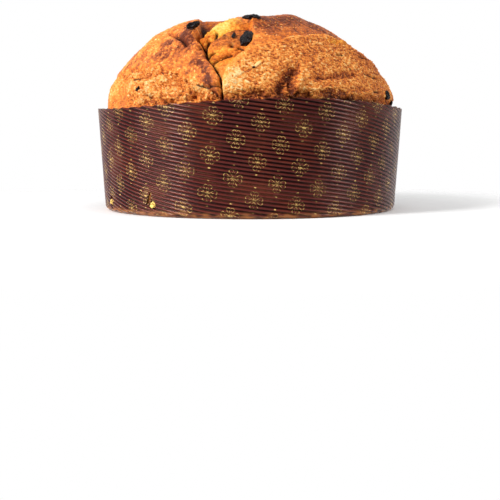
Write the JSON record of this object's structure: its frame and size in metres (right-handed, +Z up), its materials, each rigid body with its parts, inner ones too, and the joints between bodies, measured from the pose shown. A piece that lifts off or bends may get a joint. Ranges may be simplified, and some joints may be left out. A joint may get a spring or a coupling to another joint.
{
  "type": "panettone",
  "caption": "Low domed sweet loaf with a split, browned crust and raisins, baked in a brown fluted paper case with small gold rosettes",
  "frame": {"origin": "centre of the bounding box's bottom, under the middle of the paper case's floor", "axes": "+Z up, the loaf's axis; -Y is the front, the side with the split crust that the picture shows; +X is the picture's right"},
  "size_m": [0.2172, 0.2172, 0.1371],
  "materials": {
    "case_paper": "satin dark brown with gold rosettes",
    "crust": "matt baked crust",
    "raisin": "satin wrinkled skin"
  },
  "bodies": {
    "root": {"paper_case": "case_paper", "loaf": "crust", "raisin_1": "raisin", "raisin_2": "raisin", "raisin_3": "raisin", "raisin_4": "raisin", "raisin_5": "raisin", "raisin_6": "raisin"}
  },
  "joints": []
}
